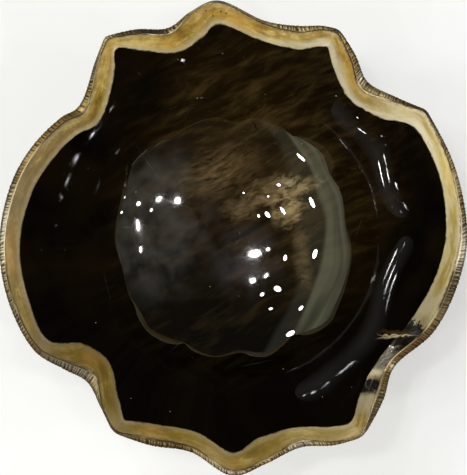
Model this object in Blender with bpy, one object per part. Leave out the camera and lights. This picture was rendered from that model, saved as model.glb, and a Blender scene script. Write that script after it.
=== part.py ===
"""Horn bowl: a pressed horn dish sawn to a lobed outline, edged with ribbed metal strip.

Metres, +Z up, +Y towards the top tip, +X to the right. The origin is the middle of the flat foot.
"""
import math

import bmesh
import bpy
from mathutils import Vector

# Width and length of the whole bowl, across the outer outline.
WIDTH = 0.197
LENGTH = 0.1998

# Dish, a turned surface: a round floor that runs into a flatter curved wall.
FLOOR_RADIUS = 0.085
WALL_RADIUS = 0.319
WALL_START = math.radians(50)
THICKNESS = 0.0052
FOOT_RADIUS = 0.022

# Edge of the dish: a bevel on the inside and a strip on the sawn face.
BEVEL_WIDTH = 0.0058
BEVEL_SLOPE = math.radians(40)
STRIP_THICKNESS = 0.0032
STRIP_HEIGHT = 0.0046
STRIP_PROUD = 0.0003
GLUE_GAP = 0.0003
SEAM_GAP = 0.0003

# Samples along each stretch of the outline, and rings between the middle and the edge.
STEPS = 4
RINGS = (0.15, 0.3, 0.45, 0.6, 0.72, 0.82, 0.91)

# Strip section, as parts of its thickness (outwards) and height (upwards).
STRIP_SECTION_RATIOS = (
    (0.0, 0.0),
    (0.45, 0.0),
    (0.85, 0.16),
    (1.0, 0.42),
    (1.0, 0.62),
    (0.82, 0.86),
    (0.3, 1.0),
    (0.0, 1.0),
)

# Outer outline of the finished edge, as parts of half the width and half the length.
# It runs counter-clockwise seen from above, with one list for each strip.
# Every strip starts on its first point and ends on the first point of the next strip.
SMOOTH = False
CORNER = True
OUTLINE_RATIOS = {
    "rim_strip_top": (
        (0.454, 0.876, CORNER),
        (0.379, 0.894, SMOOTH),
        (0.287, 0.899, SMOOTH),
        (0.139, 0.921, SMOOTH),
        (-0.070, 0.995, SMOOTH),
        (-0.187, 0.951, SMOOTH),
        (-0.282, 0.892, SMOOTH),
        (-0.417, 0.879, SMOOTH),
        (-0.549, 0.844, CORNER),
        (-0.598, 0.737, SMOOTH),
    ),
    "rim_strip_left": (
        (-0.677, 0.563, SMOOTH),
        (-0.749, 0.514, SMOOTH),
        (-0.861, 0.397, SMOOTH),
        (-0.956, 0.221, SMOOTH),
        (-1.000, -0.040, SMOOTH),
        (-0.954, -0.290, SMOOTH),
    ),
    "rim_strip_lower_left": (
        (-0.848, -0.484, SMOOTH),
        (-0.726, -0.567, SMOOTH),
        (-0.638, -0.621, SMOOTH),
        (-0.579, -0.715, SMOOTH),
        (-0.518, -0.824, CORNER),
        (-0.353, -0.883, SMOOTH),
        (-0.186, -0.913, SMOOTH),
    ),
    "rim_strip_bottom": (
        (-0.006, -1.000, SMOOTH),
        (0.143, -0.955, SMOOTH),
    ),
    "rim_strip_lower_right": (
        (0.292, -0.892, SMOOTH),
        (0.427, -0.877, SMOOTH),
        (0.554, -0.837, CORNER),
        (0.649, -0.684, SMOOTH),
    ),
    "rim_strip_right": (
        (0.697, -0.560, SMOOTH),
        (0.861, -0.404, SMOOTH),
        (0.966, -0.184, SMOOTH),
        (0.998, 0.023, SMOOTH),
        (0.947, 0.296, SMOOTH),
        (0.824, 0.540, CORNER),
        (0.695, 0.604, SMOOTH),
        (0.585, 0.669, SMOOTH),
        (0.528, 0.773, SMOOTH),
    ),
}

# Colour, roughness and metallic value of each material.
HORN = ((0.012, 0.008, 0.005, 1.0), 0.12, 0.0)
METAL = ((0.42, 0.33, 0.17, 1.0), 0.35, 1.0)


def dish_height(radius, depth):
    """Height of the dish surface that lies the given depth outside its inner face."""
    floor = FLOOR_RADIUS + depth
    if radius <= floor * math.sin(WALL_START):
        return FLOOR_RADIUS - math.sqrt(floor ** 2 - radius ** 2)
    wall = WALL_RADIUS + depth
    across = radius + (WALL_RADIUS - FLOOR_RADIUS) * math.sin(WALL_START)
    centre = FLOOR_RADIUS + (WALL_RADIUS - FLOOR_RADIUS) * math.cos(WALL_START)
    return centre - math.sqrt(wall ** 2 - across ** 2)


# Lift that puts the flat foot at height zero.
LIFT = -dish_height(FOOT_RADIUS, THICKNESS)


def on_dish(point, depth):
    """The point of the dish above a plan point."""
    return Vector((point.x, point.y, LIFT + dish_height(point.length, depth)))


def point_tangent(before, point, after):
    """Tangent of a centripetal spline at one of its points, for unit knot length."""
    first = math.sqrt((point - before).length)
    second = math.sqrt((after - point).length)
    return (point - before) / first - (after - before) / (first + second) + (after - point) / second


def stretches(points, corners):
    """Start, end and end tangents of the curve between each pair of outline points."""
    count = len(points)
    result = []
    for index in range(count):
        start = points[index]
        end = points[(index + 1) % count]
        knot = math.sqrt((end - start).length)
        leave = point_tangent(points[index - 1], start, end) * knot
        arrive = point_tangent(start, end, points[(index + 2) % count]) * knot
        if corners[index]:
            leave = (end - start) * 1.5 - arrive * 0.5
        if corners[(index + 1) % count]:
            arrive = (end - start) * 1.5 - leave * 0.5
        result.append((start, end, leave, arrive))
    return result


def sample(points, corners):
    """Closed row of plan points along the outline."""
    row = []
    for start, end, leave, arrive in stretches(points, corners):
        for step in range(STEPS):
            t = step / STEPS
            row.append(
                start * (2 * t ** 3 - 3 * t ** 2 + 1)
                + leave * (t ** 3 - 2 * t ** 2 + t)
                + end * (3 * t ** 2 - 2 * t ** 3)
                + arrive * (t ** 3 - t ** 2)
            )
    return row


def mitre(arriving, leaving):
    """Outward plan vector that moves both neighbouring sides out by one unit."""
    first = Vector((arriving.y, -arriving.x)).normalized()
    second = Vector((leaving.y, -leaving.x)).normalized()
    return (first + second) / (1 + first.dot(second))


def inset_points(points, corners, distance):
    """Outline points moved in, square to the curve."""
    sides = stretches(points, corners)
    moved = []
    for index, point in enumerate(points):
        arriving = sides[index - 1][3]
        leaving = sides[index][2]
        moved.append(point - mitre(arriving, leaving) * distance)
    return moved


def row_mitres(row):
    """Outward mitre vector at every point of a closed row."""
    count = len(row)
    return [mitre(row[i] - row[i - 1], row[(i + 1) % count] - row[i]) for i in range(count)]


def make_object(name, collection, material, vertices, faces):
    """One closed object with its faces turned outwards."""
    mesh = bpy.data.meshes.new(name)
    mesh.from_pydata(vertices, [], faces)
    work = bmesh.new()
    work.from_mesh(mesh)
    bmesh.ops.recalc_face_normals(work, faces=work.faces)
    work.to_mesh(mesh)
    work.free()
    mesh.materials.append(material)
    part = bpy.data.objects.new(name, mesh)
    collection.objects.link(part)
    return part


def make_material(name, look):
    """Plain surface with a colour, a roughness and a metallic value."""
    colour, roughness, metallic = look
    material = bpy.data.materials.new(name)
    material.use_nodes = True
    shader = material.node_tree.nodes["Principled BSDF"]
    shader.inputs["Base Color"].default_value = colour
    shader.inputs["Roughness"].default_value = roughness
    shader.inputs["Metallic"].default_value = metallic
    material.diffuse_color = colour
    return material


def join_rows(faces, first, second, count):
    """Four-sided faces between two closed rows of vertices."""
    for index in range(count):
        following = (index + 1) % count
        faces.append((first + index, first + following, second + following, second + index))


def make_shell(collection, material, sawn, brim):
    """The horn: inner face, bevel, sawn face, outer face and foot."""
    count = len(sawn)
    rows = []
    for part in RINGS:
        rows.append([on_dish(point * part, 0.0) for point in brim])
    rows.append([on_dish(point, 0.0) for point in brim])
    rows.append(edge_top(sawn, brim))
    rows.append([on_dish(point, THICKNESS) for point in sawn])
    for part in reversed(RINGS):
        row = []
        for point in sawn:
            radius = FOOT_RADIUS + (point.length - FOOT_RADIUS) * part
            row.append(on_dish(point.normalized() * radius, THICKNESS))
        rows.append(row)
    rows.append([on_dish(point.normalized() * FOOT_RADIUS, THICKNESS) for point in sawn])
    vertices = [on_dish(Vector((0.0, 0.0)), 0.0)]
    for row in rows:
        vertices.extend(row)
    faces = [(0, 1 + index, 1 + (index + 1) % count) for index in range(count)]
    for index in range(len(rows) - 1):
        join_rows(faces, 1 + index * count, 1 + (index + 1) * count, count)
    foot = 1 + (len(rows) - 1) * count
    faces.append(tuple(range(foot, foot + count)))
    return make_object("horn_shell", collection, material, vertices, faces)


def edge_top(sawn, brim):
    """Top of the sawn face, where the bevel ends."""
    rise = BEVEL_WIDTH * math.tan(BEVEL_SLOPE)
    return [Vector((out.x, out.y, on_dish(inner, 0.0).z + rise)) for out, inner in zip(sawn, brim)]


def strip_sections(sawn, brim):
    """Section of the strip at every point of the sawn edge."""
    count = len(sawn)
    top = edge_top(sawn, brim)
    outwards = row_mitres(sawn)
    sections = []
    for index in range(count):
        along = top[(index + 1) % count] - top[index - 1]
        climb = along.length / along.xy.length
        section = []
        for out, up in STRIP_SECTION_RATIOS:
            plan = sawn[index] + outwards[index] * (GLUE_GAP + out * STRIP_THICKNESS)
            height = top[index].z + STRIP_PROUD + (up - 1) * STRIP_HEIGHT * climb
            section.append(Vector((plan.x, plan.y, height)))
        sections.append(section)
    return sections


def shorten(end, inner):
    """End section moved along the strip by half a seam."""
    part = SEAM_GAP / 2 / (inner[0] - end[0]).length
    return [a.lerp(b, part) for a, b in zip(end, inner)]


def make_strip(name, collection, material, sections):
    """One length of strip, closed at both ends."""
    row = list(sections)
    row[0] = shorten(sections[0], sections[1])
    row[-1] = shorten(sections[-1], sections[-2])
    count = len(STRIP_SECTION_RATIOS)
    vertices = [vertex for section in row for vertex in section]
    faces = []
    for index in range(len(row) - 1):
        join_rows(faces, index * count, (index + 1) * count, count)
    last = (len(row) - 1) * count
    faces.append(tuple(range(count)))
    faces.append(tuple(range(last, last + count)))
    return make_object(name, collection, material, vertices, faces)


def main():
    for old in list(bpy.data.objects):
        bpy.data.objects.remove(old, do_unlink=True)
    collection = bpy.data.collections.new("horn_bowl")
    bpy.context.scene.collection.children.link(collection)
    horn = make_material("dark_horn", HORN)
    metal = make_material("edge_metal", METAL)

    points = []
    corners = []
    for strip in OUTLINE_RATIOS.values():
        for across, along, corner in strip:
            points.append(Vector((across * WIDTH / 2, along * LENGTH / 2)))
            corners.append(corner)
    outer = sample(points, corners)
    edge = STRIP_THICKNESS + GLUE_GAP
    sawn = [point - out * edge for point, out in zip(outer, row_mitres(outer))]
    brim = sample(inset_points(points, corners, edge + BEVEL_WIDTH), corners)

    make_shell(collection, horn, sawn, brim)
    sections = strip_sections(sawn, brim)
    sections.append(sections[0])
    start = 0
    for name, strip in OUTLINE_RATIOS.items():
        end = start + len(strip) * STEPS
        make_strip(name, collection, metal, sections[start:end + 1])
        start = end


main()
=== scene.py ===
import math

import bmesh
import bpy
from mathutils import Matrix, Vector


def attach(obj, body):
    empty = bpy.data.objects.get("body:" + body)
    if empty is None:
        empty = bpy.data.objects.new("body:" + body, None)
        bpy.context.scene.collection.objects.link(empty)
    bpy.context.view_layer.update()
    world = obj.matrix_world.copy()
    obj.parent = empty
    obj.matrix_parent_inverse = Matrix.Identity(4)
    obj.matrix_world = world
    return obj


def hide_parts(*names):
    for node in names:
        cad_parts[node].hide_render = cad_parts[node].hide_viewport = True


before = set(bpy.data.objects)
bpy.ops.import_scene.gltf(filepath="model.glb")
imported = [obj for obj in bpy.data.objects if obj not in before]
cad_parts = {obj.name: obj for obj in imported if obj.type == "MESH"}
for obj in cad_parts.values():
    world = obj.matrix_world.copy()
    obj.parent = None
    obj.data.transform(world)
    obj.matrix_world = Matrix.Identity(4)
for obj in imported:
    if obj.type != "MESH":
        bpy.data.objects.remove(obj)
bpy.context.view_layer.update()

# Bowl sizes in metres, in the frame of the solids. The bevel starts BRIM_INSET inside the outline. The strip
# stands proud of the sawn edge and keeps shy of the outline.
WIDTH = 0.197
LENGTH = 0.1998
FLOOR_RADIUS = 0.085
WALL_RADIUS = 0.319
WALL_START = math.radians(50)
THICKNESS = 0.0052
FOOT_RADIUS = 0.022
BEVEL_WIDTH = 0.0058
BEVEL_RISE = BEVEL_WIDTH * math.tan(math.radians(40))
BEVEL_CROWN = 0.0006
BRIM_INSET = 0.0035
STRIP_HEIGHT = 0.0046
STRIP_PROUD = 0.0002
STRIP_SHY = 0.00005
GLUE_GAP = 0.00005
SEAM_GAP = 0.00004
SEAM_MERGE = 0.000001

# Waves of the hand-pressed floor: their depth in metres, the radii between which they fade out, and
# for each wave its radians per metre across and along, its phase and its share.
PRESS_DEPTH = 0.00005
PRESS_FADE = (0.048, 0.064)
PRESS_WAVES = (
    (210, 95, 0.6, 1.0),
    (-120, 230, 2.1, 1.0),
    (310, -160, 4.0, 0.7),
)

# Ribs along the edge strip, in metres and turns. Each wobble row is a share, its rate and its phase.
RIB_PITCH = 0.00140
RIB_DEPTH = 0.00030
RIB_STEPS = 6
RIB_SLANT = 2.0
RIB_UNEVEN = 0.7
FULL_RIB_WIDTH = 0.0024
SEAM_BAR = 0.0003
SEAM_FADE = 0.0003
RIB_SPACING_WOBBLE = ((0.30, 0.83, 0.0), (0.17, 2.17, 1.0))
RIB_SLANT_WOBBLE = ((0.6, 0.29, 0.0),)
RIB_DEPTH_WOBBLE = ((0.22, 2.3, 0.0), (0.28, 0.31, 0.4))

# Rings of the shell: their numbers, parts of the way up the sawn face and across the bevel, and the scale
# of the first and the last ring of the dark face.
OUTSIDE_RINGS = 18
DARK_RINGS = 60
SAWN_PARTS = (0.04, 0.5, 0.985)
BEVEL_PARTS = (0.012, 0.08, 0.16, 0.26, 0.37, 0.48, 0.59, 0.70, 0.81, 0.92)
NEAR_BRIM = 0.996
NEAR_MIDDLE = 0.004

# Marks on the shell's rings: 1 to 0 across the bevel, and less on the other faces.
SAWN_MARK = 1.0
NEAR_BRIM_MARK = -0.3
DARK_MARK = -1.0
OUTSIDE_MARK = -2.0
POLISHED_MARKS = (-1.5, -0.1)

# Sharpest angles that are still shaded smooth.
SHELL_SMOOTH = math.radians(32)
STRIP_SMOOTH = math.radians(50)

# Step in metres for slopes and for following a sight line.
TRACE_STEP = 0.0001

# Samples between two outline points.
STEPS = 24

# Outline: parts of half the width and length, a sharp corner or not, width of the pale bevel
# and of the strip in mm.
EDGE = {
    "rim_strip_top": (
        (0.454, 0.876, True, 4.7, 1.9),
        (0.379, 0.894, False, 5.3, 2.25),
        (0.287, 0.899, False, 6.3, 3.3),
        (0.139, 0.921, False, 4.9, 1.8),
        (-0.070, 0.995, False, 6.3, 1.35),
        (-0.187, 0.951, False, 8.0, 1.35),
        (-0.282, 0.892, False, 7.3, 3.1),
        (-0.417, 0.879, False, 5.4, 2.5),
        (-0.549, 0.844, True, 3.3, 1.9),
        (-0.598, 0.737, False, 5.8, 1.9),
    ),
    "rim_strip_left": (
        (-0.677, 0.563, False, 7.2, 3.8),
        (-0.749, 0.514, False, 6.3, 3.1),
        (-0.861, 0.397, False, 6.5, 3.1),
        (-0.956, 0.221, False, 5.9, 3.2),
        (-1.000, -0.040, False, 5.1, 2.8),
        (-0.954, -0.290, False, 4.8, 2.7),
    ),
    "rim_strip_lower_left": (
        (-0.848, -0.484, False, 4.0, 2.8),
        (-0.726, -0.567, False, 9.6, 4.1),
        (-0.638, -0.621, False, 8.8, 5.2),
        (-0.579, -0.715, False, 5.4, 1.6),
        (-0.518, -0.824, True, 3.3, 1.0),
        (-0.353, -0.883, False, 5.7, 3.4),
        (-0.186, -0.913, False, 5.3, 2.7),
    ),
    "rim_strip_bottom": (
        (-0.006, -1.000, False, 6.1, 2.6),
        (0.143, -0.955, False, 7.4, 2.2),
    ),
    "rim_strip_lower_right": (
        (0.292, -0.892, False, 5.2, 3.1),
        (0.427, -0.877, False, 4.5, 2.0),
        (0.554, -0.837, True, 3.6, 1.2),
        (0.649, -0.684, False, 6.6, 4.2),
    ),
    "rim_strip_right": (
        (0.697, -0.560, False, 3.9, 3.4),
        (0.861, -0.404, False, 7.0, 4.0),
        (0.966, -0.184, False, 6.2, 4.1),
        (0.998, 0.023, False, 5.3, 3.0),
        (0.947, 0.296, False, 4.0, 2.3),
        (0.824, 0.540, True, 5.2, 1.3),
        (0.695, 0.604, False, 7.2, 3.0),
        (0.585, 0.669, False, 7.1, 4.6),
        (0.528, 0.773, False, 7.2, 3.2),
    ),
}

# How far the worn rounding of each corner reaches in metres, in the outline and inside the bevel.
WORN_CORNERS = {
    (0.454, 0.876): (0.0024, 0.0012),
    (-0.549, 0.844): (0.0014, 0.0010),
    (-0.518, -0.824): (0.0036, 0.0014),
    (0.554, -0.837): (0.0034, 0.0034),
    (0.824, 0.540): (0.0018, 0.0010),
}

# Outline corners that are round on the inside of the bevel.
ROUND_INSIDE = ((0.824, 0.540), (-0.549, 0.844))

# Strip section: part of the thickness outwards, part of the height upwards, share of the rib.
STRIP_SECTION = (
    (0.00, 0.03, 0.0),
    (0.40, 0.00, 0.0),
    (0.66, 0.04, 0.5),
    (0.84, 0.14, 1.0),
    (0.95, 0.28, 1.0),
    (1.00, 0.43, 1.0),
    (1.00, 0.57, 1.0),
    (0.95, 0.71, 1.0),
    (0.84, 0.83, 1.0),
    (0.68, 0.905, 1.0),
    (0.50, 0.945, 1.0),
    (0.34, 0.950, 1.0),
    (0.22, 0.955, 0.6),
    (0.17, 0.97, 0.0),
    (0.13, 0.995, 0.0),
    (0.07, 1.00, 0.0),
    (0.02, 0.985, 0.0),
    (0.00, 0.95, 0.0),
)
LIP_ROWS = (14, 15, 16)
STRIP_CORE = (0.35, 0.5)


def dish_height(radius, depth):
    floor = FLOOR_RADIUS + depth
    if radius <= floor * math.sin(WALL_START):
        return FLOOR_RADIUS - math.sqrt(floor ** 2 - radius ** 2)
    wall = WALL_RADIUS + depth
    across = radius + (WALL_RADIUS - FLOOR_RADIUS) * math.sin(WALL_START)
    centre = FLOOR_RADIUS + (WALL_RADIUS - FLOOR_RADIUS) * math.cos(WALL_START)
    return centre - math.sqrt(wall ** 2 - across ** 2)


LIFT = -dish_height(FOOT_RADIUS, THICKNESS)


def on_dish(point, depth):
    return Vector((point.x, point.y, LIFT + dish_height(point.length, depth)))


def pressed(point):
    """Slight unevenness of the hand-pressed floor."""
    start, end = PRESS_FADE
    wall = min(1.0, max(0.0, (point.length - start) / (end - start)))
    height = 0.0
    for across, along, phase, share in PRESS_WAVES:
        height += share * math.sin(across * point.x + along * point.y + phase)
    return PRESS_DEPTH * (1 - wall) * height


def inner_face(point):
    place = on_dish(point, 0.0)
    place.z += pressed(point)
    return place


def face_normal(point):
    slopes = []
    for step in (Vector((TRACE_STEP, 0.0)), Vector((0.0, TRACE_STEP))):
        rise = inner_face(point + step).z - inner_face(point - step).z
        slopes.append(-rise / (2 * TRACE_STEP))
    return Vector((*slopes, 1.0)).normalized()


def wobble(rows, place):
    return sum(share * math.sin(rate * place + phase) for share, rate, phase in rows)


def point_tangent(before, point, after):
    first = math.sqrt((point - before).length)
    second = math.sqrt((after - point).length)
    return (point - before) / first - (after - before) / (first + second) + (after - point) / second


def stretches(points, corners):
    count = len(points)
    result = []
    for index in range(count):
        start = points[index]
        end = points[(index + 1) % count]
        knot = math.sqrt((end - start).length)
        leave = point_tangent(points[index - 1], start, end) * knot
        arrive = point_tangent(start, end, points[(index + 2) % count]) * knot
        if corners[index]:
            leave = (end - start) * 1.5 - arrive * 0.5
        if corners[(index + 1) % count]:
            arrive = (end - start) * 1.5 - leave * 0.5
        result.append((start, end, leave, arrive))
    return result


def sample(points, corners):
    row = []
    for start, end, leave, arrive in stretches(points, corners):
        for step in range(STEPS):
            t = step / STEPS
            row.append(
                start * (2 * t ** 3 - 3 * t ** 2 + 1)
                + leave * (t ** 3 - 2 * t ** 2 + t)
                + end * (3 * t ** 2 - 2 * t ** 3)
                + arrive * (t ** 3 - t ** 2)
            )
    return row


def wear(row, reaches):
    """Rounds the corners of a closed row, each over its own reach to both sides."""
    worn = list(row)
    count = len(row)
    for corner, reach in reaches.items():
        sides = []
        for way in (-1, 1):
            run = 0.0
            steps = 0
            while run < reach:
                here = row[(corner + way * steps) % count]
                run += (row[(corner + way * (steps + 1)) % count] - here).length
                steps += 1
            sides.append(steps)
        start = row[corner - sides[0]]
        end = row[(corner + sides[1]) % count]
        for step in range(-sides[0] + 1, sides[1]):
            t = 0.5 + 0.5 * (step / sides[0] if step < 0 else step / sides[1])
            worn[(corner + step) % count] = start * (1 - t) ** 2 + row[corner] * 2 * t * (1 - t) + end * t ** 2
    return worn


def mitre(arriving, leaving):
    first = Vector((arriving.y, -arriving.x)).normalized()
    second = Vector((leaving.y, -leaving.x)).normalized()
    return (first + second) / (1 + first.dot(second))


def inset_points(points, corners, distances):
    sides = stretches(points, corners)
    moved = []
    for index, point in enumerate(points):
        moved.append(point - mitre(sides[index - 1][3], sides[index][2]) * distances[index])
    return moved


# Modelling steps: a ring or row is started from a circle and extruded on, row by row.
def start_row(name, points, marks, closed):
    bpy.ops.object.select_all(action="DESELECT")
    bpy.ops.mesh.primitive_circle_add(vertices=len(points), radius=1.0, fill_type="NOTHING")
    piece = bpy.context.active_object
    piece.name = name
    piece.data.name = name
    bpy.ops.object.mode_set(mode="EDIT")
    bpy.ops.mesh.select_mode(type="EDGE")
    work = bmesh.from_edit_mesh(piece.data)
    for mark in marks:
        work.verts.layers.float.new(mark)
    work.verts.ensure_lookup_table()
    for mark, value in marks.items():
        for vert in work.verts:
            vert[work.verts.layers.float[mark]] = value
    if not closed:
        for edge in work.edges:
            edge.select_set({vert.index for vert in edge.verts} == {0, len(points) - 1})
        bmesh.update_edit_mesh(piece.data)
        bpy.ops.mesh.delete(type="EDGE_FACE")
        bpy.ops.mesh.select_all(action="SELECT")
        work = bmesh.from_edit_mesh(piece.data)
        work.verts.ensure_lookup_table()
    places = {}
    for index, point in enumerate(points):
        work.verts[index].co = point
        places[work.verts[index].co.to_tuple()] = index
    bmesh.update_edit_mesh(piece.data)
    return piece, places


def next_row(piece, places, points, values):
    bpy.ops.mesh.extrude_edges_indiv()
    work = bmesh.from_edit_mesh(piece.data)
    layers = {mark: work.verts.layers.float[mark] for mark in values}
    moved = {}
    for vert in work.verts:
        if vert.select:
            index = places[vert.co.to_tuple()]
            vert.co = points[index]
            moved[vert.co.to_tuple()] = index
            for mark, layer in layers.items():
                value = values[mark]
                vert[layer] = value[index] if isinstance(value, list) else value
    bmesh.update_edit_mesh(piece.data)
    return moved


def close_piece(piece, angle, merge):
    bpy.ops.mesh.select_mode(type="VERT")
    bpy.ops.mesh.select_all(action="SELECT")
    if merge:
        bpy.ops.mesh.remove_doubles(threshold=merge)
    bpy.ops.mesh.fill_holes(sides=0)
    bpy.ops.mesh.select_all(action="SELECT")
    bpy.ops.mesh.normals_make_consistent(inside=False)
    bpy.ops.object.mode_set(mode="OBJECT")
    bpy.ops.object.shade_smooth_by_angle(angle=angle)


outline = []
corners = []
brim_corners = []
bevels = []
widths = []
starts = {}
outer_wear = {}
inner_wear = {}
for name, strip in EDGE.items():
    starts[name] = len(outline)
    for across, along, corner, bevel, width in strip:
        outline.append(Vector((across * WIDTH / 2, along * LENGTH / 2)))
        corners.append(corner)
        brim_corners.append(corner and (across, along) not in ROUND_INSIDE)
        bevels.append(bevel / 1000)
        widths.append(width / 1000)
        if corner:
            at = (len(outline) - 1) * STEPS
            outer_wear[at], inner_wear[at] = WORN_CORNERS[(across, along)]


def edge_row(distances, sharp):
    return sample(inset_points(outline, corners, distances), sharp)


outer_edge = wear(edge_row([STRIP_SHY] * len(outline), corners), outer_wear)
sawn = wear(edge_row([width + GLUE_GAP for width in widths], corners), outer_wear)
even_brim = edge_row([BRIM_INSET + BEVEL_WIDTH] * len(outline), corners)
brim = wear(edge_row([BRIM_INSET + bevel for bevel in bevels], brim_corners), inner_wear)
edge_top = []
for out, inner in zip(sawn, even_brim):
    edge_top.append(Vector((out.x, out.y, on_dish(inner, 0.0).z + BEVEL_RISE)))


# Chips broken out of the bevel as a ledge: plan point, reach in metres and share of the full depth.
CHIPS = (
    ((0.0760, -0.0450), 0.0135, 1.0),
    ((0.0600, -0.0625), 0.0042, 0.7),
)
CHIP_STEEPNESS = 2.4

# Ripple of the broken faces: its share of the depth, and radians per metre across and along with the phase,
# then on the slant with its share.
CHIP_RIPPLE = 0.003
RIPPLE_WAVES = (2100, 1700, 0.8, 3900, 0.6)

# Ledge of a full chip: where its wall ends, as a part of the bevel's width, and its own rise after that.
LEDGE_START = 0.50
LEDGE_RISE = 0.12


def chip_share(point):
    share = 0.0
    for place, reach, deep in CHIPS:
        near = max(0.0, 1 - (point - Vector(place)).length / reach)
        share = max(share, deep * min(1.0, CHIP_STEEPNESS * near))
    across, along, phase, slanting, less = RIPPLE_WAVES
    ripple = math.sin(across * point.x) * math.sin(along * point.y + phase)
    ripple += less * math.sin(slanting * (point.x - point.y))
    return share * (1 + CHIP_RIPPLE * ripple)


def ledge_drop(part):
    """How far the ledge of a full chip lies under the straight bevel, as a part of the bevel's rise."""
    if part < LEDGE_START:
        return (1 - LEDGE_RISE) * part / LEDGE_START - part
    return 1 - LEDGE_RISE * (1 - part) / (1 - LEDGE_START) - part


def polish(piece):
    """Gives the dark face the dish's own normals, so that it mirrors as smoothly as the real one."""
    mesh = piece.data
    marks = mesh.attributes["bevel"].data
    normals = [corner.vector.copy() for corner in mesh.corner_normals]
    for number, loop in enumerate(mesh.loops):
        if POLISHED_MARKS[0] < marks[loop.vertex_index].value < POLISHED_MARKS[1]:
            normals[number] = face_normal(mesh.vertices[loop.vertex_index].co.xy)
    mesh.normals_split_custom_set(normals)


def outer_ring(part):
    ring = []
    for point in sawn:
        radius = FOOT_RADIUS + (point.length - FOOT_RADIUS) * part
        place = on_dish(point.normalized() * radius, THICKNESS)
        place.z += part * pressed(place.xy)
        ring.append(place)
    return ring


def bevel_ring(part, inner_edge):
    ring = []
    for top, low in zip(edge_top, inner_edge):
        point = top.lerp(low, part)
        point.z += BEVEL_CROWN * part * (1 - part)
        point.z -= (top.z - low.z) * ledge_drop(part) * chip_share(point.xy)
        ring.append(point)
    return ring


def make_shell():
    run = [0.0]
    for before, after in zip(sawn, sawn[1:]):
        run.append(run[-1] + (after - before).length)
    piece, places = start_row("horn_shell_fine", outer_ring(0.0), {"bevel": OUTSIDE_MARK, "along": 0.0}, True)
    rings = []
    for step in range(1, OUTSIDE_RINGS + 1):
        rings.append((outer_ring(step / OUTSIDE_RINGS), OUTSIDE_MARK))
    sawn_low = [on_dish(point, THICKNESS) for point in sawn]
    for part in SAWN_PARTS:
        rings.append(([low.lerp(top, part) for low, top in zip(sawn_low, edge_top)], SAWN_MARK))
    inner_edge = [inner_face(point) for point in brim]
    for part in BEVEL_PARTS:
        rings.append((bevel_ring(part, inner_edge), 1.0 - part))
    rings.append((inner_edge, 0.0))
    rings.append(([inner_face(point * NEAR_BRIM) for point in brim], NEAR_BRIM_MARK))
    for step in range(1, DARK_RINGS + 1):
        part = NEAR_BRIM * (1 - step / DARK_RINGS) + NEAR_MIDDLE
        rings.append(([inner_face(point * part) for point in brim], DARK_MARK))
    for ring, mark in rings:
        places = next_row(piece, places, ring, {"bevel": mark, "along": run})
    bpy.ops.mesh.select_mode(type="VERT")
    bpy.ops.mesh.merge(type="CENTER")
    close_piece(piece, SHELL_SMOOTH, 0.0)
    polish(piece)
    return piece


def strip_columns(name):
    """Stations along a strip: inner top point, way to its outer edge, climb, rib turn and share of the rib."""
    first = starts[name] * STEPS
    last = first + len(EDGE[name]) * STEPS
    count = len(sawn)
    run = [0.0]
    for index in range(first, last):
        run.append(run[-1] + (edge_top[(index + 1) % count] - edge_top[index % count]).length)
    length = run[-1] - SEAM_GAP
    total = round(length / RIB_PITCH) * RIB_STEPS
    columns = []
    seek = 0
    for step in range(total + 1):
        place = SEAM_GAP / 2 + length * step / total
        while seek < len(run) - 2 and run[seek + 1] < place:
            seek += 1
        part = (place - run[seek]) / (run[seek + 1] - run[seek])
        here = (first + seek) % count
        there = (first + seek + 1) % count
        base = edge_top[here].lerp(edge_top[there], part)
        outside = outer_edge[here].lerp(outer_edge[there], part) - base.xy
        base.xy = base.xy + outside.normalized() * GLUE_GAP
        outside = outside - outside.normalized() * GLUE_GAP
        climbs = []
        for index in (here, there):
            along = edge_top[(index + 1) % count] - edge_top[index - 1]
            climbs.append(along.length / along.xy.length)
        climb = climbs[0] * (1 - part) + climbs[1] * part
        ends = min(place, run[-1] - place)
        fade = min(1.0, max(0.0, (ends - SEAM_BAR) / SEAM_FADE))
        turn = step / RIB_STEPS
        turn += wobble(RIB_SPACING_WOBBLE, turn)
        columns.append((base, outside, climb, turn, fade))
    return columns


def strip_row(level, columns):
    """Points of one row along a strip, and how deep each lies in a groove."""
    across, up, share = STRIP_SECTION[level]
    row = []
    grooves = []
    for base, outside, climb, turn, fade in columns:
        width = outside.length
        place = Vector((across * width, up * STRIP_HEIGHT))
        core = Vector((STRIP_CORE[0] * width, STRIP_CORE[1] * STRIP_HEIGHT))
        lean = (RIB_SLANT + wobble(RIB_SLANT_WOBBLE, turn)) * level / len(STRIP_SECTION)
        wave = 0.5 - 0.5 * math.cos(2 * math.pi * (turn + lean))
        rib = round(turn + lean - 0.5)
        wave *= 1 - RIB_UNEVEN * (0.5 + wobble(RIB_DEPTH_WOBBLE, rib))
        cut = wave * share * fade * min(1.0, width / FULL_RIB_WIDTH)
        point = place + (core - place).normalized() * RIB_DEPTH * cut
        plan = base.xy + outside * (point.x / width)
        height = base.z + STRIP_PROUD + (point.y - STRIP_HEIGHT) * climb
        row.append(Vector((plan.x, plan.y, height)))
        grooves.append(cut)
    return row, grooves


def make_strip(name):
    columns = strip_columns(name)
    rows = [strip_row(level, columns) for level in range(len(STRIP_SECTION))]
    first, first_grooves = rows[0]
    piece, places = start_row(name + "_ribbed", first, {"groove": 0.0, "lip": 0.0, "side": 0.0}, False)
    for level in range(1, len(rows)):
        row, grooves = rows[level]
        lip = 1.0 if level in LIP_ROWS else 0.0
        places = next_row(piece, places, row, {"groove": grooves, "lip": lip, "side": STRIP_SECTION[level][0]})
    next_row(piece, places, first, {"groove": first_grooves, "lip": 0.0, "side": 0.0})
    close_piece(piece, STRIP_SMOOTH, SEAM_MERGE)
    return piece


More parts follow.
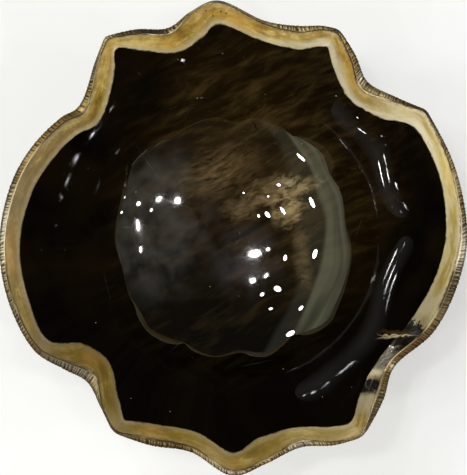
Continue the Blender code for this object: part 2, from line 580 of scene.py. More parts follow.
# Half height of a spot, in metres: more than any piece, so that only the plan counts.
ANY_HEIGHT = 1000.0


class Nodes:
    """Short ways to add shader nodes to a tree."""

    def __init__(self, tree):
        self.tree = tree

    def add(self, kind, links=None, **settings):
        node = self.tree.nodes.new("ShaderNode" + kind)
        for key, value in settings.items():
            setattr(node, key, value)
        for key, value in (links or {}).items():
            self.plug(node, key, value)
        return node

    def plug(self, node, key, value):
        socket = node.inputs[key]
        if isinstance(value, bpy.types.NodeSocket):
            self.tree.links.new(value, socket)
        else:
            socket.default_value = value

    def noise(self, vector, scale, detail=4.0, rough=0.55, swirl=0.0):
        links = {"Vector": vector, "Scale": scale, "Detail": detail, "Roughness": rough, "Distortion": swirl}
        return self.add("TexNoise", links).outputs["Fac"]

    def ramp(self, value, *stops):
        node = self.add("ValToRGB", {"Fac": value})
        points = node.color_ramp.elements
        while len(points) < len(stops):
            points.new(0.5)
        for point, (place, colour) in zip(points, stops):
            point.position = place
            point.color = (*colour, 1.0)
        return node.outputs["Color"]

    def span(self, value, low, high, start=0.0, end=1.0):
        links = {"Value": value, "From Min": low, "From Max": high, "To Min": start, "To Max": end}
        return self.add("MapRange", links).outputs["Result"]

    def soft(self, value, low, high):
        links = {"Value": value, "From Min": low, "From Max": high}
        return self.add("MapRange", links, interpolation_type="SMOOTHSTEP").outputs["Result"]

    def sums(self, operation, first, *others):
        for other in others:
            first = self.add("Math", {0: first, 1: other}, operation=operation).outputs[0]
        return first

    def times(self, first, *others):
        return self.sums("MULTIPLY", first, *others)

    def mix(self, factor, first, second, way="MIX"):
        node = self.add("Mix", {"Factor": factor}, data_type="RGBA", blend_type=way)
        for key, colour in ((6, first), (7, second)):
            self.plug(node, key, colour if isinstance(colour, bpy.types.NodeSocket) else (*colour, 1.0))
        return node.outputs[2]

    def blend(self, factor, first, second):
        links = {"Factor": factor, 2: first, 3: second}
        return self.add("Mix", links, data_type="FLOAT").outputs[0]


class Finish(Nodes):
    """A material, with patterns that lie in the bowl's own metres."""

    def __init__(self, name):
        self.material = bpy.data.materials.new(name)
        self.material.use_nodes = True
        super().__init__(self.material.node_tree)
        self.shader = self.tree.nodes["Principled BSDF"]
        self.place = self.add("TexCoord").outputs["Object"]

    def mark(self, name):
        return self.add("Attribute", attribute_name=name).outputs["Fac"]

    def wandering(self, scale, reach, detail):
        drift = self.add("TexNoise", {"Vector": self.place, "Scale": scale, "Detail": detail}).outputs["Color"]
        centred = self.add("VectorMath", {0: drift, 1: (0.5, 0.5, 0.5)}, operation="SUBTRACT").outputs[0]
        links = {0: centred, 1: (reach, reach, reach), 2: self.place}
        return self.add("VectorMath", links, operation="MULTIPLY_ADD").outputs[0]

    def turned(self, vector, place=(0, 0, 0), angle=0.0, size=(1, 1, 1)):
        links = {"Vector": vector, "Location": place, "Rotation": (0, 0, math.radians(angle)), "Scale": size}
        return self.add("Mapping", links, vector_type="TEXTURE").outputs["Vector"]

    def streaks(self, vector, angle, size, detail=4.0, rough=0.6, swirl=0.0):
        """Noise drawn out along an angle, with its size in metres."""
        return self.noise(self.turned(vector, angle=angle, size=size), 1.0, detail, rough, swirl)

    def spot(self, vector, place, size, angle=0.0, inner=0.3):
        """1 in the middle of an ellipse in plan, 0 outside it."""
        vector = self.turned(vector, (*place, 0.0), angle, (*size, ANY_HEIGHT))
        length = self.add("VectorMath", {0: vector}, operation="LENGTH").outputs["Value"]
        return self.span(length, inner, 1.0, 1.0, 0.0)

    def bump(self, height, strength, distance):
        node = self.add("Bump", {"Height": height, "Strength": strength, "Distance": distance})
        self.plug(self.shader, "Normal", node.outputs["Normal"])


# Colours of the dark horn, of its outside and of the marks in its polish.
HORN_BLACK = (0.0012, 0.0006, 0.0001)
HORN_DEEP = (0.0058, 0.0032, 0.0005)
HORN_BROWN = (0.0125, 0.0064, 0.0010)
WISP = (0.088, 0.054, 0.017)
LOW_WISP = (0.024, 0.015, 0.005)
FLECK = (0.068, 0.047, 0.021)
GROWTH_BROWN = (0.058, 0.032, 0.010)
GROWTH_TAN = (0.150, 0.095, 0.034)
FOOT = (0.090, 0.064, 0.034)
GOLD_STREAK = (0.195, 0.126, 0.048)
GOLD_GROUND = (0.105, 0.067, 0.024)
GOUGE = (0.0008, 0.0006, 0.0005)
SCRATCH = (0.120, 0.105, 0.085)
DUST = (0.34, 0.31, 0.26)

# Colours of the pale bevel.
HONEY = (
    (0.41, (0.170, 0.092, 0.004)),
    (0.50, (0.350, 0.222, 0.026)),
    (0.59, (0.610, 0.475, 0.160)),
)
CREAM = (0.450, 0.375, 0.200)
OCHRE = (0.330, 0.228, 0.022)
IVORY = (0.590, 0.490, 0.320)
OLIVE = (0.115, 0.072, 0.001)
RUST = (0.340, 0.175, 0.030)
BRIM_CREAM = (0.540, 0.465, 0.285)
BRIM_OLIVE = (0.215, 0.165, 0.072)
MILK = (0.640, 0.570, 0.400)
STRIP_EDGE_DARK = (0.085, 0.058, 0.018)
PIT = (0.045, 0.026, 0.010)
AMBER = (0.500, 0.265, 0.025)
BUTTER = (0.640, 0.475, 0.130)
UMBER = (0.130, 0.083, 0.010)

# Colours where the dark horn runs out through the bevel.
FADED = (0.300, 0.258, 0.175)
ASHEN = (0.115, 0.098, 0.072)
INK = (0.0060, 0.0042, 0.0030)
THREADS = (
    (0.38, (0.008, 0.005, 0.003)),
    (0.52, (0.060, 0.042, 0.022)),
    (0.64, (0.210, 0.170, 0.105)),
)
SOOT = (0.010, 0.008, 0.007)
BARE_CHIP = (0.47, 0.41, 0.26)
SHADE = (0.070, 0.038, 0.012)
CRACK = (0.55, 0.45, 0.25)

# Bevel stains by place: plan point, half sizes, angle, share, colour.
BEVEL_PATCHES = (
    ((0.0020, 0.0905), (0.012, 0.006), -20, 0.75, AMBER),
    ((-0.0285, 0.0820), (0.009, 0.006), 10, 0.60, AMBER),
    ((0.0520, 0.0720), (0.008, 0.016), 22, 0.80, AMBER),
    ((-0.0400, 0.0800), (0.016, 0.007), 8, 0.60, BUTTER),
    ((0.0900, 0.0300), (0.009, 0.024), 12, 0.60, BUTTER),
    ((0.0700, 0.0590), (0.014, 0.010), -40, 0.70, (0.64, 0.54, 0.33)),
    ((-0.0920, 0.0160), (0.007, 0.016), -8, 0.75, (0.165, 0.108, 0.034)),
    ((-0.0830, -0.0440), (0.014, 0.012), -40, 0.75, UMBER),
    ((-0.0500, -0.0770), (0.013, 0.014), 30, 0.85, UMBER),
    ((-0.0130, -0.0880), (0.020, 0.008), -15, 0.50, (0.230, 0.150, 0.014)),
    ((0.0200, -0.0900), (0.018, 0.008), 20, 0.75, (0.190, 0.124, 0.008)),
    ((0.0420, -0.0830), (0.012, 0.008), 0, 0.60, (0.230, 0.155, 0.020)),
)

# Golden horn by place: plan point, half sizes, angle, share, colour.
GOLD = (
    ((0.0050, 0.0140), (0.0150, 0.0100), 20, 0.50, (0.200, 0.148, 0.078)),
    ((0.0165, 0.0215), (0.0140, 0.0100), 15, 0.65, (0.250, 0.180, 0.085)),
    ((0.0280, 0.0215), (0.0190, 0.0052), 24, 0.85, (0.400, 0.300, 0.140)),
    ((0.0262, 0.0245), (0.0070, 0.0062), 0, 0.85, (0.440, 0.365, 0.220)),
    ((0.0250, 0.0130), (0.0110, 0.0125), -8, 0.90, (0.400, 0.300, 0.145)),
    ((0.0310, -0.0090), (0.0060, 0.0220), 6, 0.42, (0.150, 0.108, 0.052)),
)

# Fine scratches in the polish: plan point, half length, angle, share.
SCRATCHES = (
    ((-0.0380, 0.0330), 0.0110, -56, 0.60),
    ((-0.0290, 0.0165), 0.0160, -18, 0.60),
    ((-0.0480, 0.0045), 0.0050, 0, 0.70),
    ((-0.0215, 0.0560), 0.0080, 20, 0.40),
    ((-0.0060, 0.0400), 0.0100, 34, 0.40),
    ((-0.0335, 0.0420), 0.0070, 35, 0.50),
    ((0.0380, 0.0480), 0.0040, 30, 0.50),
    ((0.0560, 0.0050), 0.0060, 70, 0.40),
    ((-0.0560, -0.0220), 0.0080, -75, 0.40),
    ((0.0100, -0.0560), 0.0080, 12, 0.35),
    ((-0.0250, -0.0480), 0.0060, 40, 0.35),
)

# Small spots by place: plan point and half sizes.
PITS = ((-0.0116, 0.0951), (-0.0086, 0.0930), (-0.0052, 0.0947), (-0.0031, 0.0941))
PIT_SIZE = (0.0006, 0.0005)
FADED_SPOTS = (
    ((0.0800, -0.0290), (0.012, 0.012)),
    ((0.0556, -0.0682), (0.008, 0.008)),
)
SMEARS = (
    ((0.0095, -0.0110), (0.011, 0.017)),
    ((-0.0300, 0.0168), (0.013, 0.007)),
    ((-0.0425, 0.0030), (0.006, 0.014)),
)
SCRATCH_WIDTH = 0.00022
HORN_IOR = 1.54


class Horn(Finish):
    """Finish of the horn, with the patterns that several of its faces share."""

    def __init__(self, name):
        super().__init__(name)
        self.axes = self.add("SeparateXYZ", {"Vector": self.place}).outputs
        self.wavy = self.wandering(22.0, 0.012, 1.0)
        self.frayed = self.wandering(220.0, 0.0045, 3.0)
        self.curled = self.wandering(120.0, 0.0042, 2.0)
        self.split = self.wandering(420.0, 0.0030, 2.0)
        self.grain = self.noise(self.place, 150.0, 6.0, 0.68)
        self.bevel = self.mark("bevel")
        self.outside = self.span(self.bevel, -1.3, -1.8)
        self.ground = self.times(self.outside, self.soft(self.axes["Z"], 0.0004, 0.0001))


def dark_face(horn):
    """Brown upper half with wisps along the growth, near black towards the lobes and below."""
    wavy = horn.wavy
    plan = horn.add("VectorMath", {0: horn.place, 1: (1.0, 1.0, 0.0)}, operation="MULTIPLY").outputs[0]
    radius = horn.add("VectorMath", {0: plan}, operation="LENGTH").outputs["Value"]
    fibres = horn.streaks(wavy, 31, (0.0100, 0.0024, 0.0100), 4.0, 0.55)
    wisps = horn.streaks(wavy, 25, (0.024, 0.0052, 0.024), 4.0, 0.55)
    clouds = horn.noise(wavy, 32.0, 3.0, 0.5)
    browner = horn.soft(horn.spot(wavy, (0.014, 0.038), (0.074, 0.084), 0, 0.15), 0.0, 0.9)
    brownish = horn.times(browner, horn.span(clouds, 0.30, 0.62, 0.35, 1.0))
    lively = horn.times(horn.soft(clouds, 0.36, 0.62), horn.soft(horn.axes["Y"], -0.052, -0.008))
    dark = horn.mix(brownish, horn.mix(lively, HORN_BLACK, HORN_DEEP), HORN_BROWN)
    streak = horn.times(horn.soft(wisps, 0.40, 0.70), horn.span(fibres, 0.28, 0.72), brownish)
    dark = horn.mix(streak, dark, WISP)
    lower = horn.times(horn.soft(wisps, 0.46, 0.66), horn.soft(radius, 0.075, 0.035), 0.5)
    dark = horn.mix(lower, dark, LOW_WISP)
    flecks = horn.streaks(horn.frayed, 36, (0.0042, 0.0010, 0.0042), 3.0)
    return horn.mix(horn.times(horn.soft(flecks, 0.60, 0.76), brownish, 0.6), dark, FLECK)


def outer_face(horn, dark):
    """Long brown streaks along the growth, and the foot, which is ground flat, dull and a little paler."""
    grown = horn.streaks(horn.wavy, 28, (0.060, 0.0060, 0.012), 5.0)
    dark = horn.mix(horn.times(horn.outside, horn.soft(grown, 0.40, 0.66)), dark, GROWTH_BROWN)
    dark = horn.mix(horn.times(horn.outside, horn.soft(grown, 0.58, 0.74)), dark, GROWTH_TAN)
    rubbed = horn.streaks(horn.place, 62, (0.020, 0.0006, 0.020), 3.0)
    return horn.mix(horn.times(horn.ground, horn.span(rubbed, 0.3, 0.7, 0.3, 0.9)), dark, FOOT)


def golden_horn(horn, dark):
    """Patches of lighter horn right of the middle: soft streaks, then cream marbling."""
    feather = horn.streaks(horn.wavy, 27, (0.0065, 0.0013, 0.0065))
    glow = horn.spot(horn.frayed, (-0.006, 0.0300), (0.024, 0.014), 22, 0.0)
    dark = horn.mix(horn.times(glow, horn.span(feather, 0.36, 0.70, 0.05, 0.85)), dark, GOLD_STREAK)
    marble = horn.streaks(horn.curled, 24, (0.0062, 0.0030, 0.0062), swirl=0.5)
    strands = horn.streaks(horn.curled, 24, (0.0040, 0.0010, 0.0040), swirl=0.3)
    veins = horn.sums("ADD", horn.times(marble, 0.5), horn.times(strands, 0.5))
    for where, size, angle, share, cream in GOLD:
        heart = horn.spot(horn.curled, where, size, angle, 0.0)
        ragged = horn.soft(horn.sums("ADD", heart, horn.span(marble, 0.3, 0.7, -0.40, 0.40)), 0.0, 1.0)
        ragged = horn.times(ragged, horn.soft(heart, 0.0, 0.60))
        dark = horn.mix(horn.times(ragged, share), dark, GOLD_GROUND)
        dark = horn.mix(horn.times(ragged, horn.soft(veins, 0.34, 0.66), share), dark, cream)
    return dark


def handled(horn, dark):
    """A short gouge, fine scratches and dust."""
    place = horn.place
    dark = horn.mix(horn.spot(place, (0.0097, 0.0500), (0.0021, 0.00045), -66, 0.5), dark, GOUGE)
    broken = horn.span(horn.noise(place, 260.0, 3.0, 0.6), 0.35, 0.65, 0.2, 1.0)
    for where, reach, angle, share in SCRATCHES:
        line = horn.spot(place, where, (reach, SCRATCH_WIDTH), angle, 0.0)
        dark = horn.mix(horn.times(line, broken, share), dark, SCRATCH)
    dust = horn.add("TexVoronoi", {"Vector": place, "Scale": 190.0}, feature="F1").outputs
    speck = horn.span(dust["Distance"], 0.035, 0.055, 1.0, 0.0)
    few = horn.soft(dust["Color"], 0.74, 0.76)
    return horn.mix(horn.times(speck, few, 0.9), dark, DUST)


def pale_bevel(horn):
    """Olive to cream, with filing marks, orange stains and a grey run-out to the dark face."""
    place, bevel = horn.place, horn.bevel
    right, upward = horn.axes["X"], horn.axes["Y"]
    along = horn.mark("along")
    mottle = horn.noise(place, 620.0, 4.0, 0.6)
    stain = horn.noise(place, 34.0, 2.0, 0.5)
    strokes = horn.add("CombineXYZ", {"X": horn.times(along, 260.0), "Y": horn.times(bevel, 9.0)})
    filed = horn.noise(strokes.outputs["Vector"], 1.0, 5.0, 0.62)
    drift = horn.sums("ADD", horn.times(bevel, 2.6), horn.times(stain, 3.0))
    layers = horn.add("CombineXYZ", {"X": horn.times(along, 75.0), "Y": drift})
    veined = horn.noise(layers.outputs["Vector"], 1.0, 5.0, 0.60, 0.3)
    tone = horn.sums("ADD", horn.times(horn.grain, 0.36), horn.times(mottle, 0.12),
                     horn.times(filed, 0.17), horn.times(veined, 0.35))
    honey = horn.ramp(tone, *HONEY)

    # Creamier to the right, olive below and at the left.
    creamy = horn.soft(right, 0.035, 0.085)
    honey = horn.mix(horn.times(creamy, horn.span(veined, 0.38, 0.60, 0.15, 0.85)), honey, CREAM)
    middle = horn.times(horn.soft(bevel, 0.18, 0.45), horn.soft(bevel, 0.90, 0.60))
    golden = horn.times(creamy, middle, horn.soft(veined, 0.58, 0.42))
    honey = horn.mix(horn.times(golden, 0.85), honey, OCHRE)
    border = horn.times(horn.soft(bevel, 0.72, 0.93), horn.soft(veined, 0.38, 0.56))
    border = horn.times(border, horn.span(creamy, 0.0, 1.0, 0.25, 0.75))
    honey = horn.mix(border, honey, IVORY)
    below = horn.times(horn.soft(upward, 0.035, -0.045), horn.span(right, -0.06, 0.08, 1.0, 0.6))
    olive = horn.sums("MAXIMUM", below, horn.times(horn.soft(right, -0.050, -0.085), 0.8))
    honey = horn.mix(horn.times(olive, horn.span(veined, 0.36, 0.62, 0.92, 0.62)), honey, OLIVE)
    honey = horn.mix(horn.times(horn.soft(stain, 0.52, 0.70), 0.55), honey, RUST)
    for where, size, angle, share, tint in BEVEL_PATCHES:
        patch = horn.spot(horn.frayed, where, size, angle, 0.2)
        honey = horn.mix(horn.times(patch, share, horn.span(mottle, 0.3, 0.6, 0.5, 1.0)), honey, tint)

    # Pale fringe at the dark face, milky at the upper right, a darker mottled line and pits at the strip.
    uneven = horn.sums("ADD", bevel, horn.span(horn.grain, 0.2, 0.8, -0.10, 0.10))
    fringe = horn.span(uneven, 0.02, 0.36, 1.0, 0.0)
    honey = horn.mix(horn.times(fringe, 0.75), honey, horn.mix(olive, BRIM_CREAM, BRIM_OLIVE))
    upper_right = horn.spot(horn.wavy, (0.060, 0.070), (0.060, 0.050), -40, 0.5)
    milky = horn.times(upper_right, horn.soft(uneven, 0.66, 0.22), horn.span(veined, 0.36, 0.60, 0.45, 0.95))
    honey = horn.mix(milky, honey, MILK)
    strip_edge_dark = horn.times(horn.span(bevel, 0.86, 0.97), horn.soft(mottle, 0.44, 0.58), 0.7)
    honey = horn.mix(strip_edge_dark, honey, STRIP_EDGE_DARK)
    for pit in PITS:
        honey = horn.mix(horn.spot(place, pit, PIT_SIZE, 0, 0.4), honey, PIT)
    return honey, filed, uneven


def run_out(horn, honey):
    """Lower right: the dark horn runs out through the bevel, with grey ragged ends and chips."""
    frayed = horn.frayed
    threads = horn.streaks(frayed, 47, (0.0040, 0.0009, 0.004))
    for where, size in FADED_SPOTS:
        honey = horn.mix(horn.times(horn.spot(frayed, where, size, 0, 0.2), 0.65), honey, FADED)
    ends = horn.spot(frayed, (0.0705, -0.0455), (0.0165, 0.020), 47, 0.62)
    honey = horn.mix(horn.times(ends, horn.soft(threads, 0.30, 0.56)), honey, ASHEN)
    heart = horn.spot(horn.split, (0.0738, -0.0430), (0.0096, 0.020), 47, 0.55)
    core = horn.soft(horn.sums("ADD", heart, horn.span(threads, 0.3, 0.7, -0.55, 0.55)), 0.15, 0.45)
    core = horn.times(core, horn.soft(heart, 0.0, 0.15))
    honey = horn.mix(core, honey, INK)
    smoke = horn.spot(frayed, (0.0650, -0.0515), (0.0095, 0.014), 47, 0.3)
    honey = horn.mix(smoke, honey, horn.ramp(threads, *THREADS))
    band = horn.spot(frayed, (0.0585, -0.0632), (0.0130, 0.0040), 6, 0.5)
    honey = horn.mix(band, honey, SOOT)
    honey = horn.mix(horn.spot(frayed, (0.0600, -0.0575), (0.0062, 0.0018), 6, 0.3), honey, BARE_CHIP)
    shiny = horn.sums("MAXIMUM", core, band, horn.times(horn.soft(smoke, 0.0, 0.6), 0.55))
    return honey, shiny


def cracked(horn, colour):
    """Cream crack across the run-out, with a short fork and a brown shade above it."""
    shade = horn.spot(horn.frayed, (0.0700, -0.0408), (0.0080, 0.0016), 2, 0.0)
    colour = horn.mix(horn.times(shade, 0.7), colour, SHADE)
    crack = horn.spot(horn.split, (0.0702, -0.0418), (0.0088, 0.0005), 3, 0.3)
    forked = horn.spot(horn.curled, (0.0690, -0.0428), (0.0072, 0.0006), 9, 0.2)
    crack = horn.sums("MAXIMUM", crack, horn.times(forked, 0.8))
    torn = horn.span(horn.noise(horn.place, 900.0, 3.0, 0.6), 0.36, 0.52, 0.25, 1.0)
    return horn.mix(horn.times(crack, torn), colour, CRACK)


def smeared(horn):
    """Roughness of the polish, with finger smears."""
    smear = horn.span(horn.noise(horn.place, 25.0, 4.0, 0.6), 0.4, 0.7, 0.006, 0.022)
    grit = horn.soft(horn.noise(horn.place, 1700.0, 4.0, 0.7), 0.46, 0.62)
    for where, size in SMEARS:
        smear = horn.sums("ADD", smear, horn.times(horn.spot(horn.frayed, where, size, 0, 0.0), grit, 0.22))
    return smear


def horn_finish():
    horn = Horn("polished_horn")
    dark = handled(horn, golden_horn(horn, outer_face(horn, dark_face(horn))))
    honey, filed, uneven = pale_bevel(horn)
    honey, shiny = run_out(horn, honey)
    pale = horn.span(uneven, -0.02, 0.07)
    horn.plug(horn.shader, "Base Color", cracked(horn, horn.mix(pale, dark, honey)))
    dull = horn.times(pale, horn.span(shiny, 0.0, 1.0, 1.0, 0.16))
    horn.bump(horn.times(filed, dull), 0.30, 0.0003)
    dull = horn.sums("MAXIMUM", dull, horn.ground)
    rough = horn.span(horn.grain, 0.2, 0.8, 0.42, 0.60)
    horn.plug(horn.shader, "Roughness", horn.blend(dull, smeared(horn), rough))
    horn.plug(horn.shader, "IOR", HORN_IOR)
    return horn.material


# Colours of the strip.
BRASS = (
    (0.34, (0.150, 0.100, 0.036)),
    (0.50, (0.290, 0.205, 0.085)),
    (0.66, (0.500, 0.405, 0.225)),
)
BRASS_EDGE_TINT = (0.45, 0.40, 0.32)
# Painted shade for the outward side of the strip.
SHADED_SIDE = (0.060, 0.045, 0.026)
GROOVE_DIRT = (0.034, 0.025, 0.013)
DULL_LIP = (0.080, 0.058, 0.028)
BRIGHT_LIP = (0.600, 0.500, 0.310)
SILVER = (0.62, 0.60, 0.53)
TARNISH = (0.040, 0.032, 0.025)
PEWTER = (0.130, 0.120, 0.085)
GILT = (0.330, 0.215, 0.070)
COPPER = (0.250, 0.125, 0.055)

# Strip colours by place: plan point, half sizes, angle, share, colour.
METAL_PATCHES = (
    ((-0.0985, 0.0040), (0.012, 0.026), 0, 0.50, SILVER),
    ((0.0980, -0.0050), (0.010, 0.016), 0, 0.55, SILVER),
    ((-0.0770, 0.0470), (0.014, 0.030), -38, 0.75, GILT),
    ((-0.0350, 0.0880), (0.014, 0.006), 8, 0.90, TARNISH),
    ((0.0440, 0.0875), (0.005, 0.005), 0, 0.80, TARNISH),
    ((-0.0590, 0.0745), (0.006, 0.015), 18, 0.75, PEWTER),
    ((-0.0080, 0.0990), (0.008, 0.005), 0, 0.75, PEWTER),
    ((-0.0950, -0.0300), (0.010, 0.022), 16, 0.55, PEWTER),
    ((0.0930, -0.0260), (0.010, 0.016), -20, 0.60, PEWTER),
    ((-0.0030, -0.0990), (0.012, 0.006), 0, 0.45, SILVER),
    ((0.0290, -0.0900), (0.008, 0.006), 10, 0.45, SILVER),
    ((0.0790, 0.0560), (0.020, 0.010), -40, 0.85, TARNISH),
    ((-0.0540, -0.0790), (0.012, 0.016), 30, 0.80, TARNISH),
    ((0.0590, -0.0750), (0.008, 0.016), -25, 0.65, TARNISH),
    ((-0.0700, -0.0570), (0.018, 0.010), -40, 0.30, SILVER),
    ((0.0780, -0.0470), (0.020, 0.010), 42, 0.75, COPPER),
    ((0.0560, 0.0690), (0.004, 0.004), 0, 0.70, (0.66, 0.58, 0.50)),
    # A painted highlight: a small cream spot on the strip by the run-out.
    ((0.0683, -0.0555), (0.0020, 0.0030), 0, 0.85, (0.66, 0.58, 0.36)),
)


def metal_finish():
    metal = Finish("ribbed_brass")
    tone = metal.noise(metal.place, 70.0, 4.0, 0.6)
    worn = metal.noise(metal.place, 420.0, 3.0, 0.6)
    base = metal.ramp(tone, *BRASS)
    for where, size, angle, share, colour in METAL_PATCHES:
        patch = metal.spot(metal.place, where, size, angle, 0.3)
        base = metal.mix(metal.times(patch, share), base, colour)
    # Painted shade: the outward side of the strip is darkened, more in some places than others.
    side_shade = metal.times(metal.soft(metal.mark("side"), 0.45, 0.92), metal.span(tone, 0.35, 0.65, 1.0, 0.6))
    base = metal.mix(side_shade, base, SHADED_SIDE)
    dirt = metal.times(metal.soft(metal.mark("groove"), 0.08, 0.58), metal.span(worn, 0.3, 0.7, 0.50, 1.0))
    base = metal.mix(dirt, base, GROOVE_DIRT)
    clean = metal.soft(metal.noise(metal.place, 38.0, 3.0, 0.6), 0.46, 0.56)
    base = metal.mix(metal.mark("lip"), base, metal.mix(clean, DULL_LIP, BRIGHT_LIP))
    metal.plug(metal.shader, "Base Color", base)
    metal.plug(metal.shader, "Metallic", 1.0)
    metal.plug(metal.shader, "Specular Tint", (*BRASS_EDGE_TINT, 1.0))
    metal.plug(metal.shader, "Roughness", metal.blend(dirt, metal.span(worn, 0.3, 0.7, 0.36, 0.52), 0.75))
    metal.bump(worn, 0.15, 0.0001)
    return metal.material


def dress(piece, material, node):
    piece.data.materials.clear()
    piece.data.materials.append(material)
    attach(piece, "root")
    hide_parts(node)


dress(make_shell(), horn_finish(), "horn_shell")
brass = metal_finish()
for name in EDGE:
    dress(make_strip(name), brass, name)

# Camera straight above the bowl: heights and the size of a pixel at the rim in metres, sensor in mm.
CAMERA_HEIGHT = 0.80
RIM_LEVEL = 0.0684
PIXEL = 0.00042
FRAME_HEIGHT = 475
SENSOR = 24.0
camera_data = bpy.data.cameras.new("camera")
camera = bpy.data.objects.new("camera", camera_data)
bpy.context.scene.collection.objects.link(camera)
camera.location = (0.0, 0.0, CAMERA_HEIGHT)
camera_data.sensor_fit = "VERTICAL"
camera_data.sensor_height = SENSOR
camera_data.lens = SENSOR * (CAMERA_HEIGHT - RIM_LEVEL) / (PIXEL * FRAME_HEIGHT)
camera_data.clip_start = 0.01
bpy.context.scene.camera = camera

# Pale floor, a little below the foot. It glows slightly where it is seen, so that it stays near white.
FLOOR_SIZE = 8.0
FLOOR_LEVEL = -0.0005
FLOOR_WHITE = 0.93
FLOOR_GLOW = 0.38
bpy.ops.object.select_all(action="DESELECT")
bpy.ops.mesh.primitive_plane_add(size=FLOOR_SIZE, location=(0, 0, FLOOR_LEVEL))
floor = bpy.context.active_object
floor.name = "floor"
paper = Finish("pale_floor")
paper.plug(paper.shader, "Base Color", (FLOOR_WHITE, FLOOR_WHITE, FLOOR_WHITE, 1.0))
paper.plug(paper.shader, "Roughness", 0.9)
rays = paper.add("LightPath").outputs
seen = paper.sums("ADD", rays["Is Camera Ray"], rays["Is Glossy Ray"], rays["Is Transmission Ray"])
white = paper.add("Emission", {"Strength": 1.0})
shaders = {0: paper.times(seen, FLOOR_GLOW), 1: paper.shader.outputs["BSDF"], 2: white.outputs["Emission"]}
lifted = paper.add("MixShader", shaders)
paper.plug(paper.tree.nodes["Material Output"], "Surface", lifted.outputs["Shader"])
floor.data.materials.append(paper.material)

# Plain studio light: a dim ceiling that brightens to the horizon, a pale wall on the left, two soft glows.
CEILING = (0.066, 0.062, 0.050)
HORIZON = (1.0, 1.0, 1.0)
WALL = (1.22, 1.23, 0.78)
WALL_EDGE = (0.26, 0.28, 0.20)

# Soft glows of the ceiling: way to the middle, degrees to the outer and inner end, colour.
GLOWS = (
    ((-0.120, 0.260, 0.958), 26, 3, (0.50, 0.51, 0.57)),
    ((0.765, -0.140, 0.630), 50, 8, (0.82, 0.78, 0.70)),
)
world = bpy.data.worlds.new("studio")
bpy.context.scene.world = world
world.use_nodes = True
sky = Nodes(world.node_tree)
way = sky.add("TexCoord").outputs["Generated"]
parts = sky.add("SeparateXYZ", {"Vector": way}).outputs
rise = sky.sums("MAXIMUM", parts["Z"], 0.05)
lean = sky.sums("DIVIDE", parts["X"], rise)
above = sky.soft(parts["Z"], 0.09, 0.16)
wall = sky.times(sky.soft(lean, -1.30, -1.48), above, sky.span(lean, -4.2, -2.4))
upright = sky.times(sky.sums("DIVIDE", parts["Y"], rise), 0.22)
bands = sky.noise(sky.add("CombineXYZ", {"X": lean, "Y": upright}).outputs["Vector"], 1.5, 1.0, 0.5)
wall = sky.times(wall, sky.span(bands, 0.36, 0.62, 0.30, 1.0))
side = sky.times(sky.span(lean, -0.74, -0.92), above)
lit = sky.ramp(parts["Z"], (0.06, HORIZON), (0.15, CEILING))
lit = sky.mix(wall, lit, WALL, "ADD")
lit = sky.mix(side, lit, WALL_EDGE, "ADD")
uneven = sky.span(sky.noise(way, 4.5, 2.0, 0.5), 0.30, 0.70)
for toward, wide, narrow, colour in GLOWS:
    aim = sky.add("VectorMath", {0: way, 1: toward}, operation="DOT_PRODUCT").outputs["Value"]
    glow = sky.soft(aim, math.cos(math.radians(wide)), math.cos(math.radians(narrow)))
    lit = sky.mix(sky.times(glow, uneven), lit, colour, "ADD")
sky.plug(sky.tree.nodes["Background"], "Color", lit)

# Lamps: distances in metres from the last mirroring, brightness and full beam angles.
LAMP_DISTANCE = 1.7
LAMP_RADIANCE = 95.0
GLINT_RADIANCE = 1900.0
GLINT_BEAM = math.radians(0.8)
SHEEN_RADIANCE = 3.6
SHEEN_BEAM = math.radians(5.0)
SHEEN_DISTANCE = 0.7
FIRST_STEP = 0.01


def mirror_path(spot, bounces):
    """Last point and way out of the sight line that meets the bowl at this plan point."""
    point = inner_face(spot)
    way = (point - Vector((0.0, 0.0, CAMERA_HEIGHT))).normalized().reflect(face_normal(spot))
    for _ in range(bounces - 1):
        point = point + way * FIRST_STEP
        while point.z > inner_face(point.xy).z:
            point = point + way * TRACE_STEP
        way = way.reflect(face_normal(point.xy))
    return point, way.normalized()


def light_at(name, spot, size, stretch, radiance, bounces, beam=math.pi, distance=LAMP_DISTANCE):
    """Oval lamp whose mirror image in the bowl falls on the given plan point, in metres."""
    seen, away = mirror_path(Vector(spot), bounces)
    sideways = away.cross(Vector((*spot, 0.0))).normalized()
    data = bpy.data.lights.new(name, "AREA")
    data.shape = "ELLIPSE"
    data.size = size
    data.size_y = size * stretch
    data.spread = beam
    narrowing = (beam / 2) ** 2 / 3 if beam < math.pi else 1.0
    data.energy = radiance * math.pi * math.pi * size * size * stretch / 4 * narrowing
    lamp = bpy.data.objects.new(name, data)
    lamp.location = seen + away * distance
    lamp.rotation_euler = Matrix((sideways.cross(away), sideways, away)).transposed().to_euler()
    bpy.context.scene.collection.objects.link(lamp)


def round_at(angle, radius):
    return radius * math.cos(math.radians(angle)), radius * math.sin(math.radians(angle))


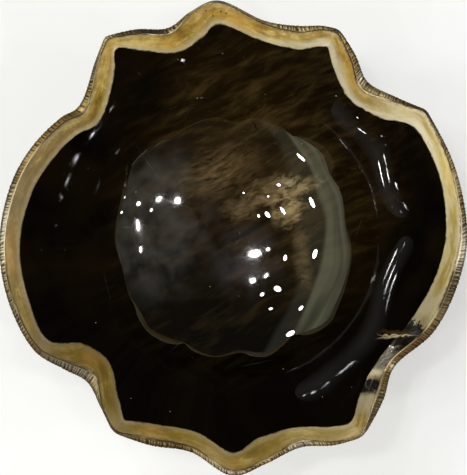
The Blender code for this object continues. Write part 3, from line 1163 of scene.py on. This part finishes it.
# Plan points of the lamps' images in the floor, the lamps' sizes, in metres, and their stretch.
LAMPS = (
    (0.0304, 0.0359, 0.050, 2.0),
    (0.0205, 0.0239, 0.036, 1.8),
    (0.0158, 0.0187, 0.034, 1.0),
    (0.0226, 0.0120, 0.046, 2.0),
    (0.0154, 0.0106, 0.072, 1.0),
    (0.0115, 0.0099, 0.044, 1.2),
    (0.0047, 0.0203, 0.024, 1.0),
    (0.0354, 0.0160, 0.066, 1.9),
    (0.0158, -0.0054, 0.072, 1.0),
    (0.0235, -0.0092, 0.060, 1.7),
    (0.0369, -0.0074, 0.070, 1.7),
    (0.0101, -0.0074, 0.120, 1.1),
    (0.0088, -0.0196, 0.080, 1.1),
    (0.0149, -0.0174, 0.050, 1.2),
    (0.0201, -0.0234, 0.072, 1.0),
    (0.0130, -0.0259, 0.046, 1.2),
    (0.0304, -0.0318, 0.060, 1.5),
    (0.0255, -0.0431, 0.064, 1.6),
    (0.0169, -0.0323, 0.038, 1.0),
    (-0.0428, 0.0153, 0.064, 1.15),
    (-0.0338, 0.0174, 0.082, 1.0),
    (-0.0255, 0.0169, 0.104, 1.0),
    (-0.0431, 0.0056, 0.056, 2.6),
    (-0.0419, -0.0055, 0.056, 1.9),
    (-0.0372, 0.0124, 0.034, 1.4),
    (-0.0501, 0.0113, 0.034, 1.2),
    (-0.0488, 0.0180, 0.028, 1.2),
    (-0.0541, 0.0196, 0.034, 1.4),
    (-0.0489, 0.0422, 0.034, 1.3),
    (-0.0320, 0.0532, 0.040, 1.2),
)
for number, (across, along, size, stretch) in enumerate(LAMPS):
    light_at("lamp_%d" % (number + 1), (across, along), size, stretch, LAMP_RADIANCE, 1)

# Small lamps that show as streaks on the wall by way of a second mirroring: angle, radius, size, stretch.
GLINTS = (
    (44, 0.0745, 0.0016, 2),
    (40, 0.0722, 0.0014, 2),
    (26, 0.0706, 0.0024, 3.5),
    (22, 0.0722, 0.0020, 4),
    (18, 0.0738, 0.0018, 3),
    (-8, 0.0698, 0.0016, 2.5),
    (-13, 0.0704, 0.0016, 2.5),
    (-14, 0.0722, 0.0014, 2.5),
    (-51, 0.0742, 0.0008, 6),
    (-63, 0.0752, 0.0009, 4),
    (-66, 0.0746, 0.0009, 4),
    (106, 0.0788, 0.0022, 2),
    (144, 0.0752, 0.0018, 3),
    (153, 0.0758, 0.0018, 3),
    (167, 0.0760, 0.0013, 1),
)
for number, (angle, radius, size, stretch) in enumerate(GLINTS):
    spot = round_at(angle, radius)
    light_at("glint_%d" % (number + 1), spot, size, stretch, GLINT_RADIANCE, 2, GLINT_BEAM)

# Two wide, dim lamps that show as a soft sheen along the right wall, in the same way.
SHEENS = (
    (31, 0.0720, 0.07, 0.8),
    (-37, 0.0720, 0.07, 1.2),
)
for number, (angle, radius, size, stretch) in enumerate(SHEENS):
    spot = round_at(angle, radius)
    light_at("sheen_%d" % (number + 1), spot, size, stretch, SHEEN_RADIANCE, 2, SHEEN_BEAM, SHEEN_DISTANCE)

bpy.context.scene.view_settings.view_transform = "Standard"
